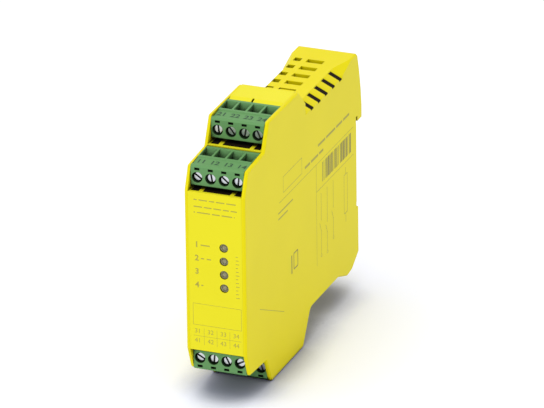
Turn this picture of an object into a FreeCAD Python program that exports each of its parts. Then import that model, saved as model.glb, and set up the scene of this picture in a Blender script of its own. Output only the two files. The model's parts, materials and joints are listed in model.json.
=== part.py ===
# Safety relay module for a 35 mm mounting rail, modelled as it comes apart on a bench.
# Millimetres. +X is the module's width, +Y runs from the front panel to the rail, +Z is up.
# The origin is the middle of the flat seat that rests against the rail.
import FreeCAD
import Part
import Sketcher
import math
import os
import re

doc = FreeCAD.newDocument("safety_relay")
sheet = doc.addObject("Spreadsheet::Sheet", "sizes")

# Every driving size: its name, its value and what it is.
# "Depth" is counted back from the face of the front panel, "half" up or down from mid-height.
SIZES = [
    ("width", 22.5, "module width across the rail"),
    ("panel_depth", 108.5, "front panel face to rail seat"),
    ("block_half", 49.5, "half height of the terminal block part"),
    ("rows_high", 19.5, "height that the two rows of plugs take"),
    ("panel_half", "=block_half - rows_high", "half height of the front panel"),
    ("wall", 1.25, "side wall"),
    ("skin", 1.5, "top, bottom and rear wall"),
    ("side_bevel", 0.5, "bevel round the outline of each side wall"),
    # outline of the side walls
    ("tooth_lean", 3.4, "how far the first step leans back"),
    ("tooth_half", "=panel_half + 8.6", "half height at the first step's corner"),
    ("step_front", 18.8, "depth of the second step"),
    ("step_half", "=panel_half + 9.6", "half height at the foot of the second step"),
    ("step_lean", 4.6, "how far the second step leans back"),
    ("block_back", 52.3, "depth where the top starts to fall"),
    ("top_run", 7.7, "run of the falling part of the top"),
    ("top_half", "=block_half - 7.5", "height of the rear part's top"),
    ("base_back", 54.3, "depth where the bottom starts to rise"),
    ("base_run", 7.5, "run of the rising part of the bottom"),
    ("base_half", "=block_half - 12.1", "depth of the rear part's bottom below mid-height"),
    ("crown_out", 1.8, "rear top corner, behind the rail seat"),
    ("belly_out", 4.9, "middle of the curved rear face, behind the rail seat"),
    ("belly_half", "=top_half - 11", "height of that middle"),
    ("bulge_out", 6.0, "rearmost face, behind the rail seat"),
    ("bulge_half", 20.5, "height where the rear face turns upright"),
    ("crown_round", 2.0, "rounding of the rear top corner"),
    ("belly_round", 90.0, "rounding of the curved rear face"),
    ("slope_round", 3.0, "rounding where top and bottom change slope"),
    ("tooth_round", 1.0, "rounding of the steps' corners"),
    ("lower_out", 2.0, "rear face below the rail, behind the rail seat"),
    ("lower_half", "=base_half - 1.9", "height of its lower corner"),
    ("heel_in", 5.0, "heel, ahead of the rail seat"),
    ("heel_half", "=base_half + 2.5", "heel below mid-height"),
    ("toe_in", 9.5, "lowest point of the foot, ahead of the rail seat"),
    ("toe_half", "=base_half + 3.2", "foot below mid-height"),
    ("arch_in", 18.5, "where the foot starts, ahead of the rail seat"),
    # rail
    ("rail_half", 17.5, "half height of the rail"),
    ("brim", 1.0, "thickness of the rail's brims"),
    ("rail_gap", 0.3, "clearance round the brims"),
    ("hook_bite", 1.7, "overlap of hook and latch behind the brims"),
    ("seat_half", 15.2, "half height of the raised seat"),
    ("seat_rise", 0.2, "height of that seat"),
    # bevels and vents of the rear part
    ("bevel_in", 3.15, "width of the bevel along the top edges"),
    ("bevel_down", 3.7, "height of that bevel"),
    ("bevel_front", 58.6, "depth where the bevel starts"),
    ("bevel_back", 93.4, "depth where it starts to fade"),
    ("bevel_end", 104.9, "depth where it is gone"),
    ("vent_first", 69.3, "depth of the first row of vents"),
    ("vent_pitch", 7.0, "from row to row"),
    ("vent_wide", 2.9, "vent slot across its length"),
    ("vent_blind", 0.4, "depth of the first row, which is blind"),
    ("vent_middle", 3.15, "half length of the middle column"),
    ("vent_rib", 5.3, "start of the left column from the middle"),
    ("vent_lead", 1.9, "start of a bevel slot ahead of its row"),
    ("vent_slant", 3.5, "how far a bevel slot leans back"),
    ("vent_drop", 0.6, "how far a bevel slot reaches below the bevel"),
    ("floor_vent_start", 1.2, "start of the bottom slots from the middle"),
    ("floor_vent_end", 8.0, "end of the bottom slots from the middle"),
    # front cover
    ("panel_thick", 1.2, "front panel and rims"),
    ("shelf", 1.3, "shelves above and below the plugs"),
    ("web_thick", 0.6, "webs that join the shelves"),
    ("trench_half", 9.2, "half length of the slot behind each rim"),
    ("tab_wide", 1.5, "tabs across that slot"),
    ("tab_left", 5.6, "left tab from the middle"),
    ("tab_right", 6.0, "right tab from the middle"),
    ("lip_run", 3.0, "sloping lip of the strip behind the plugs"),
    ("lip_fall", 0.7, "fall of that lip"),
    ("lip_thick", 1.0, "edge of that lip"),
    ("nick_wide", 0.7, "nick in the lip"),
    ("nick_x", 1.3, "nick from the middle, to the left"),
    # plugs and their headers
    ("poles", 4, "poles of each plug"),
    ("pole_pitch", 5.0, "from pole to pole"),
    ("plug_side_gap", 0.1, "clearance between plug and side wall"),
    ("plug_shelf_gap", 1.0, "clearance between plug and shelf"),
    ("plug_front", 2.8, "depth of the front plugs' faces"),
    ("row_step", 19.5, "depth from the front plugs to the rear plugs"),
    ("row_rise", 10.0, "height from the front plugs to the rear plugs"),
    ("plug_long", 15.8, "plug without its nose"),
    ("plug_face", 7.1, "height of the plug's front face"),
    ("plug_ridge", 7.8, "height of the ridge behind it"),
    ("plug_band", 6.7, "depth of the marking band"),
    ("plug_top", 8.5, "height of the plug's rear edge"),
    ("plug_chamfer", 0.5, "chamfer of the plug's edges"),
    ("nose_long", 6.0, "nose of the plug"),
    ("nose_low", 0.3, "underside of the nose"),
    ("nose_high", 6.0, "top of the nose"),
    ("nose_half", 8.7, "half width of the nose"),
    ("header_gap", 0.12, "clearance between nose and header"),
    ("header_wall", 0.5, "wall of the header"),
    ("header_back", 1.6, "back wall of the header"),
    # terminal
    ("screw_up", 3.3, "screw axis above the plug's inner side"),
    ("head_radius", 1.85, "screw head"),
    ("head_sunk", 0.9, "head below the plug's face"),
    ("head_high", 1.2, "height of the head"),
    ("slot_wide", 0.6, "driver slot"),
    ("slot_deep", 0.7, "depth of the driver slot"),
    ("well_gap", 0.15, "clearance round the head"),
    ("shank_radius", 1.5, "screw shank"),
    ("thread_gap", 0.08, "running clearance round the shank"),
    ("shoulder", 0.7, "wall that holds the head"),
    ("chamber_half", 2.12, "half width of the clamp's chamber"),
    ("chamber_low", 0.7, "floor of the chamber"),
    ("chamber_high", 5.9, "roof of the chamber"),
    ("clamp_gap", 0.12, "clearance beside the clamp"),
    ("clamp_wall", 0.45, "side of the clamp"),
    ("clamp_nut", 1.2, "threaded end of the clamp"),
    ("clamp_foot", 1.0, "wire end of the clamp"),
    ("clamp_long", 7.8, "length of the clamp"),
    ("clamp_high", 3.8, "height of the clamp"),
    ("clamp_open", 2.4, "clamp's travel when the screw turns"),
    ("bar_thick", 0.8, "current bar inside the clamp"),
    ("bar_gap", 0.2, "clearance at the screw's tip and beside the bar"),
    ("strip_thick", 0.5, "contact strip"),
    ("strip_half", 0.8, "its half width"),
    ("fork_thick", 0.55, "contact fork"),
    ("pin_gap", 0.1, "clearance between fork and pin"),
    ("funnel_front", 7.6, "front of the wire funnel's mouth"),
    ("funnel_back", 0.8, "wall behind the funnel's mouth"),
    ("funnel_taper", 1.7, "slope of the funnel's ends"),
    ("test_wide", 1.9, "test slot"),
    ("test_high", 0.9, "height of the test slot"),
    ("test_deep", 1.4, "depth of the test slot"),
    ("pin_thick", 1.0, "square header pin"),
    ("pin_reach", 5.2, "pin inside the header"),
    ("leg_first", 2.0, "first pin's bend behind the header"),
    ("leg_step", 1.6, "from bend to bend"),
    # board and what stands on it
    ("board_thick", 1.6, "circuit board"),
    ("board_gap", 0.3, "board to left wall"),
    ("board_edge", 0.4, "board to shelves and headers"),
    ("relay_long", 40.0, "safety relay with guided contacts"),
    ("relay_wide", 13.0, "its width"),
    ("relay_high", 16.0, "its height over the board"),
    ("relay_first", 71.0, "depth of the first relay"),
    ("relay_gap", 2.0, "between the relays"),
    ("relay_base", 3.0, "relay's base"),
    ("relay_lip", 0.4, "how far the base stands out"),
    ("cap_radius", 4.0, "electrolytic capacitor"),
    ("cap_high", 12.0, "its height over the board"),
    ("cap_depth", 44.0, "depth of the capacitors"),
    ("cap_half", 20.0, "capacitors from mid-height"),
    ("choke_wide", 11.0, "choke"),
    ("choke_long", 13.0, "its length"),
    ("choke_high", 9.0, "its height over the board"),
    ("choke_depth", 58.0, "its depth"),
    ("chip_wide", 6.2, "chips"),
    ("chip_long", 8.8, "their length"),
    ("chip_high", 3.2, "their height"),
    ("chip_depth", 22.0, "depth of the first chip"),
    ("chip_step", 13.0, "from chip to chip"),
    ("fuse_wide", 8.4, "square fuse"),
    ("fuse_high", 8.0, "its height over the board"),
    # lamps
    ("lamp_x", 3.2, "lamps from the middle, to the right"),
    ("lamp_top", 10.2, "height of the top lamp"),
    ("lamp_pitch", 5.08, "from lamp to lamp"),
    ("lamp_count", 4, "lamps"),
    ("lamp_radius", 1.5, "lamp"),
    ("lamp_hole_gap", 0.1, "clearance round the lamp"),
    ("lamp_sunk", 0.25, "lamp's tip below the panel's face"),
    ("lamp_long", 5.0, "lamp's length"),
    ("holder_deep", 7.0, "lamp holder"),
    ("holder_edge", 3.2, "holder round the lamps"),
    # latch and its spring
    ("latch_half", 4.8, "half width of the latch"),
    ("latch_gap", 0.2, "clearance round the latch"),
    ("latch_thick", 2.6, "upright leg of the latch"),
    ("latch_travel", 4.0, "how far the latch is pulled down"),
    ("latch_nose", 1.7, "nose behind the brim"),
    ("keeper", 1.0, "lips that keep the latch in its channel"),
    ("channel_wall", 1.3, "wall ahead of the channel"),
    ("driver_slot", 1.4, "slot for a screwdriver"),
    ("spring_half", 1.9, "half width of the spring"),
    ("spring_strip", 0.5, "its strip"),
    ("spring_folds", 5, "its folds"),
    ("spring_long", 8.0, "length of the spring at rest"),
    ("spring_top", 22.5, "spring's upper end below mid-height"),
]
for number, (name, value, note) in enumerate(SIZES, 1):
    sheet.set("A%d" % number, note)
    sheet.set("B%d" % number, str(value))
    sheet.setAlias("B%d" % number, name)
doc.recompute()
NAMES = {name for name, value, note in SIZES}
SAME = 1e-4


def bind(text):
    """An expression in plain size names, written for the sheet."""
    return re.sub(r"[a-z_]+", lambda word: "sizes." + word[0] if word[0] in NAMES else word[0], str(text))


def size(name):
    return float(sheet.get(name))


def at(depth):
    """The y place of something at this depth behind the front panel's face."""
    return "(%s) - panel_depth" % depth


def new_body(label, place=("0", "0", "0"), upside_down=False):
    body = doc.addObject("PartDesign::Body", label)
    body.Label = label
    if upside_down:
        body.Placement.Rotation = FreeCAD.Rotation(FreeCAD.Vector(0, 1, 0), 180)
    for axis, text in zip("xyz", place):
        body.setExpression("Placement.Base." + axis, bind(text))
    return body


def new_sketch(body, plane, level="0"):
    """A sketch on one of the body's own planes, lifted to a level along that plane's axis."""
    sketch = body.newObject("Sketcher::SketchObject", "Outline")
    role = plane + "_Plane"
    support = [feature for feature in body.Origin.OriginFeatures if feature.Role == role][0]
    sketch.AttachmentSupport = (support, [""])
    sketch.MapMode = "FlatFace"
    lift = "-(%s)" % level if plane == "XZ" else level
    sketch.setExpression("AttachmentOffset.Base.z", bind(lift))
    return sketch


def fix(sketch, line, end, across, up):
    for kind, text in (("DistanceX", across), ("DistanceY", up)):
        number = sketch.addConstraint(Sketcher.Constraint(kind, line, end, 1.0))
        sketch.setExpression("Constraints[%d]" % number, bind(text))


def add_outline(sketch, corners):
    """A closed outline of straight lines with every corner held by its two sizes."""
    first = sketch.GeometryCount
    count = len(corners)
    start = []
    for number in range(count):
        turn = 2 * math.pi * number / count
        start.append(FreeCAD.Vector(10 * math.cos(turn), 10 * math.sin(turn), 0))
    for number in range(count):
        line = Part.LineSegment(start[number], start[(number + 1) % count])
        sketch.addGeometry(line, False)
    for number in range(count):
        following = first + (number + 1) % count
        sketch.addConstraint(Sketcher.Constraint("Coincident", first + number, 2, following, 1))
    for number, (across, up) in enumerate(corners):
        fix(sketch, first + number, 1, across, up)


def add_circle(sketch, across, up, radius):
    number = sketch.addGeometry(Part.Circle(FreeCAD.Vector(1, 1, 0), FreeCAD.Vector(0, 0, 1), 1), False)
    fix(sketch, number, 3, across, up)
    held = sketch.addConstraint(Sketcher.Constraint("Radius", number, 1.0))
    sketch.setExpression("Constraints[%d]" % held, bind(radius))


def oblong(left, right, low, high):
    return [(left, low), (right, low), (right, high), (left, high)]


def round_outline(count, radius):
    """Corners of a regular outline round the sketch's own origin, with a flat side on the right."""
    turns = [(number + 0.5) * 360 / count for number in range(count)]
    return [("%s * cos(%s)" % (radius, turn), "%s * sin(%s)" % (radius, turn)) for turn in turns]


def prism(body, kind, plane, low, high, outlines=(), circles=()):
    """A Pad or a Pocket of outlines and circles between two levels along the plane's axis."""
    sketch = new_sketch(body, plane, "((%s) + (%s)) / 2" % (low, high))
    for corners in outlines:
        add_outline(sketch, corners)
    for circle in circles:
        add_circle(sketch, *circle)
    before = body.Tip.Shape.Volume if body.Tip else 0.0
    feature = body.newObject("PartDesign::" + kind, kind)
    feature.Profile = sketch
    feature.SideType = "Symmetric"
    feature.setExpression("Length", bind("(%s) - (%s)" % (high, low)))
    doc.recompute()
    change = feature.Shape.Volume - before
    if (change <= 0) == (kind == "Pad"):
        raise RuntimeError("%s of %s changes nothing" % (kind, body.Label))
    return feature


def pad(body, plane, low, high, outlines=(), circles=()):
    return prism(body, "Pad", plane, low, high, outlines, circles)


def pocket(body, plane, low, high, outlines=(), circles=()):
    return prism(body, "Pocket", plane, low, high, outlines, circles)


def soften(body, kind, radius, chosen):
    """Fillet or chamfer the edges of the body that the test picks."""
    base = body.Tip
    names = []
    for number, edge in enumerate(base.Shape.Edges, 1):
        if chosen(edge):
            names.append("Edge%d" % number)
    if not names:
        raise RuntimeError("no edge to soften on " + body.Label)
    feature = body.newObject("PartDesign::" + kind, kind)
    feature.Base = (base, names)
    feature.setExpression("Radius" if kind == "Fillet" else "Size", bind(radius))
    doc.recompute()
    return feature


def along(edge, axis):
    """True for a straight edge that runs along the axis: 0 is X, 1 is Y, 2 is Z."""
    ends = [vertex.Point for vertex in edge.Vertexes]
    if len(ends) != 2 or not isinstance(edge.Curve, Part.Line):
        return False
    run = ends[1] - ends[0]
    return all(abs(run[other]) < SAME for other in range(3) if other != axis)


def near(edge, axis, spots):
    """True for an edge along the axis at one of the spots, given in the other two directions."""
    if not along(edge, axis):
        return False
    middle = edge.BoundBox.Center
    place = [middle[other] for other in range(3) if other != axis]
    return any(abs(place[0] - one) < SAME and abs(place[1] - two) < SAME for one, two in spots)


# ---------------------------------------------------------------- outlines shared by several pieces
HALF = "width / 2"
INNER = "(width / 2 - wall)"
SLOPE_TOP = "block_back + top_run"
SLOPE_BASE = "base_back + base_run"


def front_steps(side):
    """Corners of the stepped front, from the panel to the block, above (+) or below (-)."""
    return [(at("0"), side + "panel_half"),
            (at("tooth_lean"), side + "tooth_half"),
            (at("step_front"), side + "step_half"),
            (at("step_front + step_lean"), side + "block_half")]


def side_outline():
    rear = [(at("block_back"), "block_half"),
            (at(SLOPE_TOP), "top_half"),
            ("crown_out", "top_half"),
            ("belly_out", "belly_half"),
            ("bulge_out", "bulge_half"),
            ("bulge_out", "rail_half - hook_bite"),
            ("brim + rail_gap", "rail_half - hook_bite"),
            ("brim + rail_gap", "rail_half + rail_gap"),
            ("-seat_rise", "rail_half + rail_gap"),
            ("-seat_rise", "seat_half"),
            ("0", "seat_half"),
            ("0", "-seat_half"),
            ("-seat_rise", "-seat_half"),
            ("-seat_rise", "-(rail_half + rail_gap)"),
            ("lower_out", "-(rail_half + rail_gap)"),
            ("lower_out", "-lower_half"),
            ("-heel_in", "-heel_half"),
            ("-toe_in", "-toe_half"),
            ("-arch_in", "-base_half"),
            (at(SLOPE_BASE), "-base_half"),
            (at("base_back"), "-block_half")]
    return front_steps("") + rear + front_steps("-")[::-1]


# ---------------------------------------------------------------- housing: side walls, rear part, rail hook
def round_housing(body):
    half = size("width") / 2
    front = -size("panel_depth")
    gentle = [(front + size("block_back"), size("block_half")),
              (front + size("base_back") + size("base_run"), -size("base_half"))]
    steps = []
    for side in (1, -1):
        steps.append((front + size("tooth_lean"), side * size("tooth_half")))
        steps.append((front + size("step_front") + size("step_lean"), side * size("block_half")))
    soften(body, "Fillet", "slope_round", lambda edge: near(edge, 0, gentle))
    soften(body, "Fillet", "tooth_round", lambda edge: near(edge, 0, steps))
    crown = [(size("crown_out"), size("top_half"))]
    soften(body, "Fillet", "crown_round", lambda edge: near(edge, 0, crown))
    belly = [(size("belly_out"), size("belly_half"))]
    soften(body, "Fillet", "belly_round", lambda edge: near(edge, 0, belly))
    seat = size("rail_half") + size("rail_gap") + SAME

    def on_rim(edge):
        box = edge.BoundBox
        on_side = abs(abs(box.Center.x) - half) < SAME and box.XLength < SAME
        beside_rail = box.YMin > -size("seat_rise") - SAME and box.ZMin > -seat and box.ZMax < seat
        return on_side and not beside_rail
    soften(body, "Chamfer", "side_bevel", on_rim)


def bevel_corner(side, grow):
    """The triangle that the bevel takes off a top edge, larger than the edge by a share."""
    reach = "bevel_in * %s" % grow
    drop = "bevel_down * %s" % grow
    return [(side + "(width / 2 - bevel_in - %s)" % reach, "top_half + %s" % drop),
            (side + "(width / 2 + %s)" % reach, "top_half - bevel_down - %s" % drop),
            (side + "(width / 2 + bevel_in)", "top_half + bevel_down")]


def bevel_top(body, side):
    pocket(body, "XZ", at("bevel_front"), at("bevel_back"), [bevel_corner(side, "0.3")])
    loft = body.newObject("PartDesign::SubtractiveLoft", "Fade")
    start = new_sketch(body, "XZ", at("bevel_back"))
    add_outline(start, bevel_corner(side, "0.3"))
    end = new_sketch(body, "XZ", at("bevel_end"))
    tip = "0.05"
    add_outline(end, [(side + "(width / 2 - %s)" % tip, "top_half + %s" % tip),
                      (side + "(width / 2 + %s)" % tip, "top_half - %s" % tip),
                      (side + "(width / 2 + 2 * %s)" % tip, "top_half + 2 * %s" % tip)])
    loft.Profile = start
    loft.Sections = [end]
    loft.Ruled = True
    doc.recompute()


def vent_rows(count, first=0):
    return ["vent_first + %d * vent_pitch" % number for number in range(first, first + count)]


def cut_vents(body):
    top = ("top_half - skin - 1", "top_half + 1")
    # The first row is only a shallow recess, and the others go through.
    for rows, low in ((vent_rows(1), "top_half - vent_blind"), (vent_rows(4, 1), top[0])):
        slots = [oblong("-vent_middle", "vent_middle", at(row + " - vent_wide / 2"), at(row + " + vent_wide / 2"))
                 for row in rows]
        pocket(body, "XY", low, top[1], slots)
        stubs = [oblong("-(width / 2 - bevel_in - 0.1)", "-vent_rib", at(row + " - vent_wide / 2"),
                        at(row + " + vent_wide / 2")) for row in rows]
        pocket(body, "XY", low, top[1], stubs)
    for side in ("", "-"):
        slanted = []
        for row in vent_rows(5, -1):
            front = row + " - vent_lead"
            back = front + " + vent_slant * (bevel_in + 0.5) / bevel_in"
            slanted.append([(side + "(width / 2 - bevel_in)", at(front)),
                            (side + "(width / 2 + 0.5)", at(back)),
                            (side + "(width / 2 + 0.5)", at(back + " + vent_wide")),
                            (side + "(width / 2 - bevel_in)", at(front + " + vent_wide"))])
        pocket(body, "XY", "top_half - bevel_down - vent_drop", "top_half + 1", slanted)
    floor = ("-base_half - 1", "-base_half + skin + 1")
    under = []
    for row in vent_rows(3):
        for side in ("", "-"):
            under.append(oblong(side + "floor_vent_start", side + "floor_vent_end",
                                at(row + " - vent_wide / 2"), at(row + " + vent_wide / 2")))
    pocket(body, "XY", floor[0], floor[1], under)


def housing_base():
    body = new_body("housing_base")
    pad(body, "YZ", "-" + HALF, HALF, [side_outline()])
    round_housing(body)
    for side in ("", "-"):
        bevel_top(body, side)
    # Inside: open to the front, closed above, below and behind.
    shoulder = "top_half - bevel_down - 0.5"
    room = [(at("-10"), "block_half + 10"),
            (at("block_back"), "block_half + 10"),
            (at("block_back"), "block_half - skin - 0.4"),
            (at("bevel_front - 1.1"), "top_half + 0.4"),
            (at("bevel_front - 1.1"), shoulder),
            ("-skin - 1", shoulder),
            ("-skin - 1", "-(rail_half - 4)"),
            ("-(latch_thick + latch_gap + channel_wall)", "-(rail_half - 4)"),
            ("-(latch_thick + latch_gap + channel_wall)", "-(base_half - skin)"),
            (at("base_back + base_run - 0.8"), "-(base_half - skin)"),
            (at("base_back - 0.8"), "-(block_half - skin)"),
            (at("base_back"), "-(block_half - shelf)"),
            (at("base_back"), "-(block_half + 10)"),
            (at("-10"), "-(block_half + 10)")]
    pocket(body, "YZ", "-" + INNER, INNER, [room])
    loft = [("-" + INNER, shoulder), ("-(width / 2 - bevel_in - 0.3)", "top_half - skin"),
            ("(width / 2 - bevel_in - 0.3)", "top_half - skin"), (INNER, shoulder)]
    pocket(body, "XZ", at("bevel_front + 0.8"), "-skin - 1", [loft])
    hollow = [("-skin - 1.2", "top_half - skin"),
              ("crown_out - skin", "top_half - skin"),
              ("belly_out - skin", "belly_half - 1"),
              ("bulge_out - skin - 0.4", "bulge_half + skin"),
              ("-skin - 1.2", "bulge_half + skin")]
    pocket(body, "YZ", "-(width / 2 - bevel_in - 0.3)", "width / 2 - bevel_in - 0.3", [hollow])
    cut_vents(body)
    # Channel for the latch: open below and to the rear, between two lips.
    side = "(latch_half + latch_gap)"
    pocket(body, "YZ", "-" + side, side,
           [oblong("-(latch_thick + latch_gap)", "lower_out - keeper", "-(toe_half + 1)", "-(rail_half + rail_gap)")])
    mouth = "(latch_half + latch_gap - keeper)"
    pocket(body, "YZ", "-" + mouth, mouth,
           [oblong("-0.5", "lower_out + 1", "-(toe_half + 1)", "-(rail_half + rail_gap) + 0.5")])
    # Under the floor, ahead of the channel, only the side walls and two guide ribs reach down.
    under = [oblong("-arch_in", "lower_out + 1", "-(toe_half + 1)", "-base_half")]
    for side in ("", "-"):
        low = side + "(latch_half + latch_gap + wall)"
        high = side + INNER
        pocket(body, "YZ", low if side == "" else high, high if side == "" else low, under)
    pocket(body, "YZ", "-(latch_half + latch_gap)", "latch_half + latch_gap",
           [oblong("-arch_in", "-(latch_thick + latch_gap) + 0.1", "-(toe_half + 1)", "-base_half")])
    # The peg that the latch spring stands on.
    pad(body, "YZ", "-spring_half", "spring_half",
        [oblong("-(latch_thick + latch_gap + 0.5)", "0.6",
                "-(spring_top + spring_long + 1.5)", "-(spring_top + spring_long)")])
    # Seats for the circuit board on the left wall, and a kerb along its lower edge.
    seats = [oblong(at("relay_first"), at("relay_first + 2"), "-(base_half - skin)", shoulder),
             oblong(at("relay_first + 28"), at("relay_first + 30"), "-(base_half - skin)", shoulder)]
    pad(body, "YZ", "-" + INNER, "-(width / 2 - wall - board_gap)", seats)
    kerb = [oblong(at("base_back + base_run + 3"), at("relay_first + 30"),
                   "-(base_half - skin + 0.01)", "-(base_half - skin - 1.5)")]
    inner_face = "-(width / 2 - wall - board_gap - board_thick)"
    pad(body, "YZ", inner_face, inner_face + " + 1", kerb)
    return body


# ---------------------------------------------------------------- front cover: panel, shelves, strips
def front_cover():
    body = new_body("front_cover")
    pad(body, "YZ", "-" + INNER, INNER,
        [oblong(at("0"), at("panel_thick"), "-panel_half", "panel_half")])
    shelf_end = "plug_front + plug_long + nose_long + header_back + 0.6"
    for side in ("", "-"):
        shelf = [oblong(at("0"), at(shelf_end), side + "(panel_half - shelf)", side + "panel_half")]
        pad(body, "YZ", "-" + INNER, INNER, shelf)
        upper = [oblong(at("step_front"), at(shelf_end + " + row_step"),
                        side + "(step_half + 0.4 - shelf)", side + "(step_half + 0.4)")]
        pad(body, "YZ", "-" + INNER, INNER, upper)
        strip_front = "plug_front + row_step + plug_long + 0.3"
        back = "block_back" if side == "" else "base_back"
        strip = [[(at(strip_front), side + "(block_half - lip_fall - lip_thick)"),
                  (at(strip_front), side + "(block_half - lip_fall)"),
                  (at(strip_front + " + lip_run"), side + "block_half"),
                  (at(back), side + "block_half"),
                  (at(back), side + "(block_half - shelf)"),
                  (at(strip_front + " + lip_run"), side + "(block_half - shelf)")]]
        pad(body, "YZ", "-" + INNER, INNER, strip)
        web = [(at("plug_front + plug_long + 0.6"), side + "(panel_half - shelf)"),
               (at(shelf_end), side + "(panel_half - shelf)"),
               (at(shelf_end), side + "(step_half + 0.4 - shelf)"),
               (at(shelf_end + " + row_step"), side + "(step_half + 0.4 - shelf)"),
               (at(shelf_end + " + row_step"), side + "(block_half - shelf)"),
               (at(strip_front + " + 0.3"), side + "(block_half - lip_fall - lip_thick + 0.1)"),
               (at(strip_front + " + 0.3"), side + "(step_half + 0.4)"),
               (at("plug_front + plug_long + 0.6"), side + "(step_half + 0.4)")]
        pad(body, "YZ", "-" + INNER, "-" + INNER + " + web_thick", [web])
        pad(body, "YZ", INNER + " - web_thick", INNER, [web])
        # The open slot behind each rim, crossed by two tabs.
        for rim, step in (("panel_half", "0"), ("(step_half + 0.4)", "step_front")):
            front = step + " + panel_thick"
            end = "plug_front" if step == "0" else "plug_front + row_step"
            spans = [("-trench_half", "-tab_left - tab_wide / 2"),
                     ("-tab_left + tab_wide / 2", "tab_right - tab_wide / 2"),
                     ("tab_right + tab_wide / 2", "trench_half")]
            slots = [oblong(left, right, at(front), at(end + " + 0.5")) for left, right in spans]
            floor, roof = side + "(" + rim + " - shelf - 1)", side + "(" + rim + " + 0.2)"
            pocket(body, "XY", floor if side == "" else roof, roof if side == "" else floor, slots)
    nick = [oblong("-nick_x - nick_wide / 2", "-nick_x + nick_wide / 2",
                   at("plug_front + row_step + plug_long"), at("plug_front + row_step + plug_long + lip_run + 0.3"))]
    pocket(body, "XY", "block_half - shelf - 1", "block_half + 1", nick)
    holes = []
    for number in range(int(size("lamp_count"))):
        holes.append(("lamp_x", "lamp_top - %d * lamp_pitch" % number, "lamp_radius + lamp_hole_gap"))
    pocket(body, "XZ", at("-1"), at("panel_thick + 1"), circles=holes)
    return body


# ---------------------------------------------------------------- terminal plugs
ROWS = [("upper_front", 0, False), ("upper_rear", 1, False), ("lower_front", 0, True), ("lower_rear", 1, True)]
POLES = range(int(size("poles")))


def row_place(row, below):
    """Where a plug's own origin stands: middle of its face's inner edge."""
    up = "panel_half + plug_shelf_gap + %d * row_rise" % row
    return ("0", at("plug_front + %d * row_step" % row), "-(%s)" % up if below else up)


def pole_x(number):
    return "(%d - (poles - 1) / 2) * pole_pitch" % number


CHAMBER_FRONT = "head_sunk + head_high + 0.1 + shoulder"
CLAMP_REST = "(%s) + 0.1 + clamp_open" % CHAMBER_FRONT
BAR_FRONT = "head_sunk + head_high + 5.3 + bar_gap"
CHAMBER_BACK = "(%s) + clamp_long + 0.3" % CLAMP_REST


def plug(label, row, below):
    body = new_body("plug_" + label, row_place(row, below), below)
    half = "(width / 2 - wall - plug_side_gap)"
    section = [("0", "plug_chamfer"),
               ("plug_chamfer", "0"),
               ("plug_long", "0"),
               ("plug_long", "plug_top"),
               ("plug_band + 0.3", "plug_ridge + 0.4"),
               ("plug_band", "plug_ridge"),
               ("1.9", "plug_ridge - 0.4"),
               ("1.6", "plug_ridge"),
               ("0.6", "plug_ridge"),
               ("0", "plug_face")]
    pad(body, "YZ", "-" + half, half, [section])
    pad(body, "YZ", "-nose_half", "nose_half",
        [oblong("plug_long - 1", "plug_long + nose_long", "nose_low", "nose_high")])
    wells = [(pole_x(number), "screw_up", "head_radius + well_gap") for number in POLES]
    pocket(body, "XZ", "-1", "head_sunk + head_high + 0.1", circles=wells)
    gap = "(shank_radius + thread_gap)"
    passages = [oblong("%s - %s" % (pole_x(number), gap), "%s + %s" % (pole_x(number), gap),
                       "screw_up - " + gap, "screw_up + " + gap) for number in POLES]
    pocket(body, "XZ", "head_sunk + head_high + 0.1", CHAMBER_FRONT + " + 0.5", passages)
    roof = "chamber_high"
    chamber = [(CHAMBER_FRONT, "chamber_low"),
               (CHAMBER_BACK, "chamber_low"),
               (CHAMBER_BACK, roof),
               ("plug_long - funnel_back", "plug_top + 1"),
               ("funnel_front", "plug_top + 1"),
               ("funnel_front + funnel_taper", roof),
               (CHAMBER_FRONT, roof)]
    for number in POLES:
        middle = pole_x(number)
        pocket(body, "YZ", middle + " - chamber_half", middle + " + chamber_half", [chamber])
    windows = [oblong(pole_x(number) + " - strip_half - 0.1", pole_x(number) + " + strip_half + 0.1",
                      "chamber_low", "nose_high - 0.6") for number in POLES]
    pocket(body, "XZ", CHAMBER_BACK + " - 0.5", "plug_long + nose_long + 1", windows)
    slits = [oblong(pole_x(number) + " - test_wide / 2", pole_x(number) + " + test_wide / 2",
                    "plug_face - test_high - 0.2", "plug_face - 0.2") for number in POLES]
    pocket(body, "XZ", "-1", "test_deep", slits)
    return body


def contacts(label, row, below):
    """Four contacts: a bar inside each clamp, and a strip that runs back to a fork round the pin."""
    body = new_body("contacts_" + label, row_place(row, below), below)
    bar_back = BAR_FRONT + " + bar_thick"
    floor = "chamber_low + strip_thick"
    pin_low = "screw_up - pin_thick / 2 - pin_gap"
    pin_high = "screw_up + pin_thick / 2 + pin_gap"
    tip = "plug_long + nose_long - 0.5"
    root = "plug_long - 0.4"
    web = root + " - bar_thick"
    strip = [(BAR_FRONT, "chamber_low"),
             (root, "chamber_low"),
             (root, pin_low + " - fork_thick"),
             (tip, pin_low + " - fork_thick"),
             (tip, pin_low),
             (root, pin_low),
             (root, pin_high),
             (tip, pin_high),
             (tip, pin_high + " + fork_thick"),
             (web, pin_high + " + fork_thick"),
             (web, floor),
             (BAR_FRONT, floor)]
    bar = oblong(BAR_FRONT, bar_back, "chamber_low", "chamber_high - 0.2")
    half = "(chamber_half - clamp_gap - clamp_wall - bar_gap)"
    for number in POLES:
        middle = pole_x(number)
        pad(body, "YZ", middle + " - strip_half", middle + " + strip_half", [strip])
        pad(body, "YZ", "%s - %s" % (middle, half), "%s + %s" % (middle, half), [bar])
    return body


# How far the driver slot of each screw stands turned from level, in degrees.
SLOT_TURNS = {"upper_front": (35, 80, 40, 96), "upper_rear": (84, 12, 100, 66),
              "lower_front": (150, 62, 95, 28), "lower_rear": (75, 40, 118, 90)}


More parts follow.
